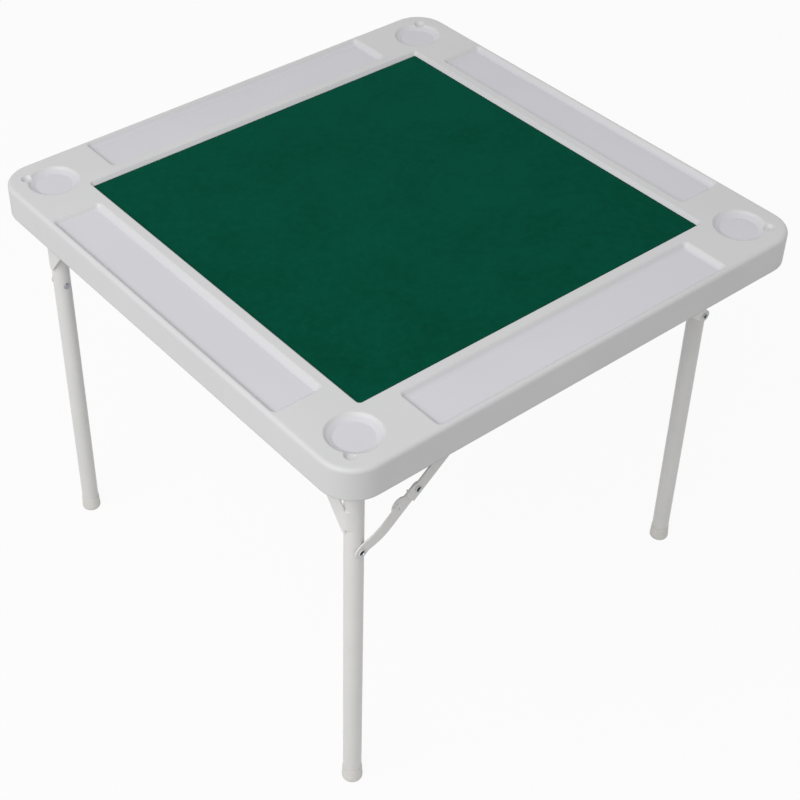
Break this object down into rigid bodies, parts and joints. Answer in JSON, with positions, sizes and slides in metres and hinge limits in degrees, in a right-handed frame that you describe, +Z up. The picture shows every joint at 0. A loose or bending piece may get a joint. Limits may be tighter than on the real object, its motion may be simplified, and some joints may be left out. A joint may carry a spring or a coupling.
{
  "type": "folding mahjong table",
  "caption": "Square folding games table: moulded top with a sunk felt field, edge trays and corner cup holders, on hinged tube leg frames held by folding braces.",
  "frame": {"origin": "floor level under the middle of the square top", "axes": "+Z up, +X from the wide leg frame towards the narrow one, +Y along the crossbars"},
  "size_m": [0.88, 0.88, 0.71],
  "materials": {
    "moulded_top": "satin",
    "fibreboard": "matte",
    "felt_baize": "matte",
    "white_steel": "satin",
    "zinc_steel": "satin",
    "rivet_steel": "satin",
    "cap_plastic": "matte"
  },
  "bodies": {
    "top": {"tabletop": "moulded_top", "play_board": "fibreboard", "felt": "felt_baize", "saddle_wide_front": "zinc_steel", "brace_bracket_wide_front": "zinc_steel", "saddle_wide_back": "zinc_steel", "brace_bracket_wide_back": "zinc_steel", "saddle_narrow_front": "zinc_steel", "brace_bracket_narrow_front": "zinc_steel", "saddle_narrow_back": "zinc_steel", "brace_bracket_narrow_back": "zinc_steel", "pivot_rivets": "rivet_steel"},
    "wide_frame": {"crossbar_wide": "white_steel", "leg_rivets_wide": "rivet_steel", "foot_caps_wide": "cap_plastic", "leg_wide_front": "white_steel", "gusset_wide_front": "white_steel", "leg_wide_back": "white_steel", "gusset_wide_back": "white_steel"},
    "lower_brace_wide_front": {"lower_strap_wide_front": "white_steel", "elbow_tail_wide_front": "rivet_steel"},
    "upper_brace_wide_front": {"upper_strap_wide_front": "white_steel", "elbow_head_wide_front": "rivet_steel"},
    "lower_brace_wide_back": {"lower_strap_wide_back": "white_steel", "elbow_tail_wide_back": "rivet_steel"},
    "upper_brace_wide_back": {"upper_strap_wide_back": "white_steel", "elbow_head_wide_back": "rivet_steel"},
    "narrow_frame": {"crossbar_narrow": "white_steel", "leg_rivets_narrow": "rivet_steel", "foot_caps_narrow": "cap_plastic", "leg_narrow_front": "white_steel", "gusset_narrow_front": "white_steel", "leg_narrow_back": "white_steel", "gusset_narrow_back": "white_steel"},
    "lower_brace_narrow_front": {"lower_strap_narrow_front": "white_steel", "elbow_tail_narrow_front": "rivet_steel"},
    "upper_brace_narrow_front": {"upper_strap_narrow_front": "white_steel", "elbow_head_narrow_front": "rivet_steel"},
    "lower_brace_narrow_back": {"lower_strap_narrow_back": "white_steel", "elbow_tail_narrow_back": "rivet_steel"},
    "upper_brace_narrow_back": {"upper_strap_narrow_back": "white_steel", "elbow_head_narrow_back": "rivet_steel"}
  },
  "joints": [
    {"name": "wide_fold", "type": "hinge", "parent": "top", "child": "wide_frame", "pos_m": [-0.378, 0, 0.6812], "axis": [0, -1, 0], "range_deg": [0, 90]},
    {"name": "lower_brace_wide_front_turn", "type": "hinge", "parent": "wide_frame", "child": "lower_brace_wide_front", "pos_m": [-0.378, -0.38, 0.5098], "axis": [0, -1, 0], "range_deg": [0, 51]},
    {"name": "upper_brace_wide_front_turn", "type": "hinge", "parent": "top", "child": "upper_brace_wide_front", "pos_m": [-0.16634, -0.38, 0.6812], "axis": [0, 1, 0], "range_deg": [0, 39]},
    {"name": "lower_brace_wide_back_turn", "type": "hinge", "parent": "wide_frame", "child": "lower_brace_wide_back", "pos_m": [-0.378, 0.38, 0.5098], "axis": [0, -1, 0], "range_deg": [0, 51]},
    {"name": "upper_brace_wide_back_turn", "type": "hinge", "parent": "top", "child": "upper_brace_wide_back", "pos_m": [-0.16634, 0.38, 0.6812], "axis": [0, 1, 0], "range_deg": [0, 39]},
    {"name": "narrow_fold", "type": "hinge", "parent": "top", "child": "narrow_frame", "pos_m": [0.378, 0, 0.6812], "axis": [0, 1, 0], "range_deg": [0, 90]},
    {"name": "lower_brace_narrow_front_turn", "type": "hinge", "parent": "narrow_frame", "child": "lower_brace_narrow_front", "pos_m": [0.378, -0.319, 0.5098], "axis": [0, 1, 0], "range_deg": [0, 51]},
    {"name": "upper_brace_narrow_front_turn", "type": "hinge", "parent": "top", "child": "upper_brace_narrow_front", "pos_m": [0.16634, -0.319, 0.6812], "axis": [0, -1, 0], "range_deg": [0, 39]},
    {"name": "lower_brace_narrow_back_turn", "type": "hinge", "parent": "narrow_frame", "child": "lower_brace_narrow_back", "pos_m": [0.378, 0.319, 0.5098], "axis": [0, 1, 0], "range_deg": [0, 51]},
    {"name": "upper_brace_narrow_back_turn", "type": "hinge", "parent": "top", "child": "upper_brace_narrow_back", "pos_m": [0.16634, 0.319, 0.6812], "axis": [0, -1, 0], "range_deg": [0, 39]}
  ],
  "couplings": [
    {"joint": "lower_brace_wide_front_turn", "follows": "wide_fold", "ratio": 0.56667},
    {"joint": "upper_brace_wide_front_turn", "follows": "wide_fold", "ratio": 0.43333},
    {"joint": "lower_brace_wide_back_turn", "follows": "wide_fold", "ratio": 0.56667},
    {"joint": "upper_brace_wide_back_turn", "follows": "wide_fold", "ratio": 0.43333},
    {"joint": "lower_brace_narrow_front_turn", "follows": "narrow_fold", "ratio": 0.56667},
    {"joint": "upper_brace_narrow_front_turn", "follows": "narrow_fold", "ratio": 0.43333},
    {"joint": "lower_brace_narrow_back_turn", "follows": "narrow_fold", "ratio": 0.56667},
    {"joint": "upper_brace_narrow_back_turn", "follows": "narrow_fold", "ratio": 0.43333}
  ]
}
